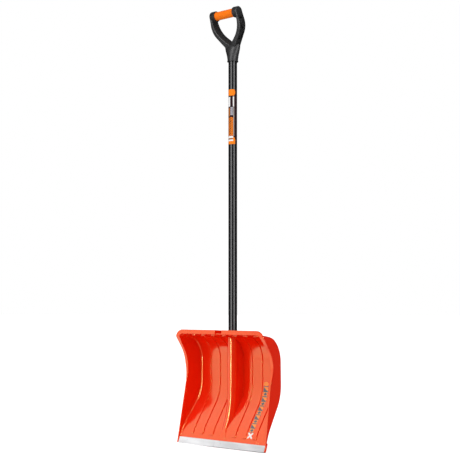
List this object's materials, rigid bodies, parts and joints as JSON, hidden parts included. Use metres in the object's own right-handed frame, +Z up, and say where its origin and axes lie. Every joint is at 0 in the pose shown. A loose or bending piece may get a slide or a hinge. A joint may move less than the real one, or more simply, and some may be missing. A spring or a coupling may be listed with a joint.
{
  "type": "snow shovel",
  "caption": "Long-handled snow shovel: deep moulded scoop with flutes and a metal edge strip, straight tube shaft and forward-leaning D-grip.",
  "frame": {"origin": "middle of the width and of the depth, level with the lowest edge of the metal strip", "axes": "+Z up along the straight shaft, -Y out of the scoop's open front, +X to the right seen from the open front"},
  "size_m": [0.365, 0.1116, 1.4037],
  "materials": {
    "scoop_plastic": "glossy red-orange moulded plastic",
    "strip_metal": "plain rolled aluminium strip",
    "rivet_metal": "flush aluminium rivets",
    "tube_coating": "smooth black powder coat",
    "screw_steel": "zinc-plated pan-head screws",
    "grip_plastic": "satin black moulded plastic",
    "sleeve_plastic": "satin orange moulded sleeve",
    "label_film": "printed film label",
    "decal_film": "printed film strip"
  },
  "bodies": {
    "root": {"scoop": "scoop_plastic", "edge_strip": "strip_metal", "edge_rivets": "rivet_metal", "shaft_tube": "tube_coating", "socket_screw": "screw_steel", "grip_frame": "grip_plastic", "grip_sleeve": "sleeve_plastic", "grip_screw": "screw_steel", "shaft_label": "label_film", "scoop_decal": "decal_film"}
  },
  "joints": []
}
